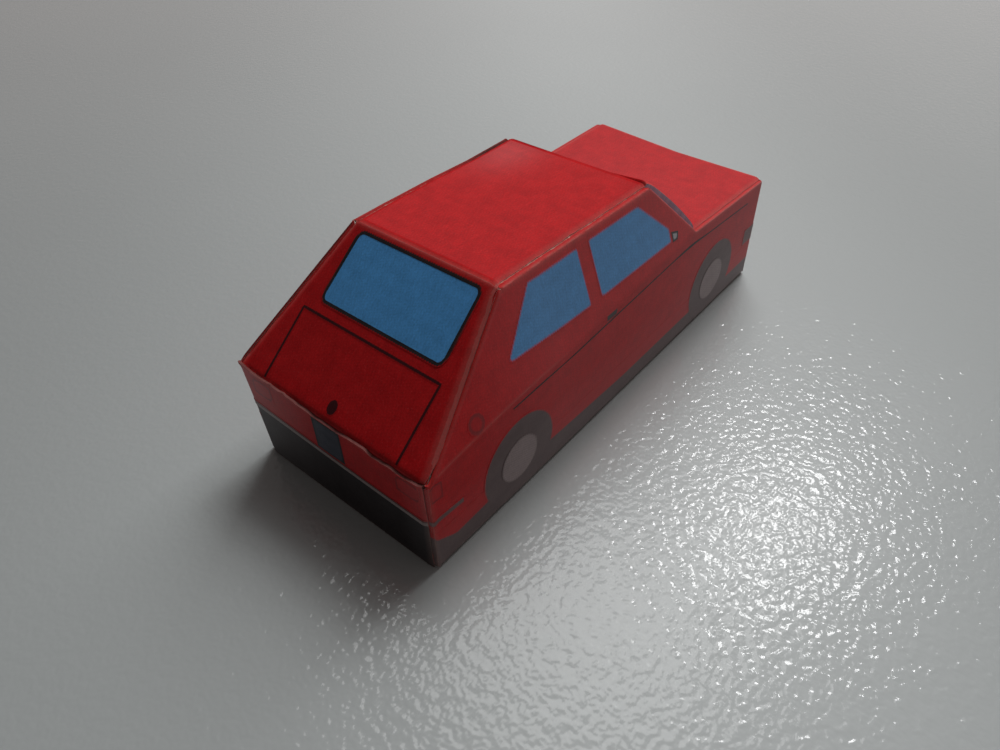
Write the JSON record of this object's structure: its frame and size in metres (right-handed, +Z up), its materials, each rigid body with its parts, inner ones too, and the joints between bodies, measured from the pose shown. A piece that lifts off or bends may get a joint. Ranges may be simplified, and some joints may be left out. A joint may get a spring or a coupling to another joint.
{
  "type": "miniature card model of a hatchback car",
  "caption": "Small folded and glued model of a two-door hatchback car in printed card, with windows, wheels and lamps printed on its flat panels.",
  "frame": {"origin": "centre of the floor's underside, on the surface that the model stands on", "axes": "+X towards the nose, +Y to the car's left, +Z up"},
  "size_m": [0.0496, 0.02, 0.0185],
  "materials": {
    "red_card": "red print on matt card, worn pale at the folds",
    "bare_card": "unprinted card",
    "blue_print": "mid-blue print on matt card",
    "black_print": "black print on matt card",
    "grey_print": "grey print on matt card",
    "dark_red_print": "dark red print on matt card",
    "plate_print": "blank dark print on matt card",
    "lamp_print": "pale print on matt card"
  },
  "bodies": {
    "root": {"hatch_panel": "red_card", "roof_panel": "red_card", "windscreen_panel": "red_card", "bonnet_panel": "red_card", "nose_panel": "red_card", "floor_panel": "bare_card", "tail_panel": "red_card", "hatch_closing_tab": "bare_card", "rear_window_glass": "blue_print", "rear_window_frame": "black_print", "hatch_lid_line": "black_print", "hatch_lock": "black_print", "tail_valance": "black_print", "rear_bumper_line": "grey_print", "tail_plate": "plate_print", "tail_lamps": "dark_red_print", "windscreen_glass": "blue_print", "windscreen_frame": "black_print", "nose_grille": "black_print", "headlamps": "lamp_print", "nose_plate": "plate_print", "front_bumper": "grey_print", "nose_valance": "black_print", "fuel_filler": "dark_red_print", "side_right_lower": "red_card", "side_right_upper": "red_card", "side_right_tabs": "bare_card", "side_right_windows": "blue_print", "side_right_mirror": "grey_print", "side_right_door_handle": "grey_print", "side_right_waist_line": "black_print", "side_right_bumper_wraps": "grey_print", "side_right_lamp_wrap": "dark_red_print", "side_right_hubs": "grey_print", "side_right_tyres_and_sill": "black_print", "side_left_lower": "red_card", "side_left_upper": "red_card", "side_left_tabs": "bare_card", "side_left_windows": "blue_print", "side_left_mirror": "grey_print", "side_left_door_handle": "grey_print", "side_left_waist_line": "black_print", "side_left_bumper_wraps": "grey_print", "side_left_lamp_wrap": "dark_red_print", "side_left_hubs": "grey_print", "side_left_tyres_and_sill": "black_print"}
  },
  "joints": []
}
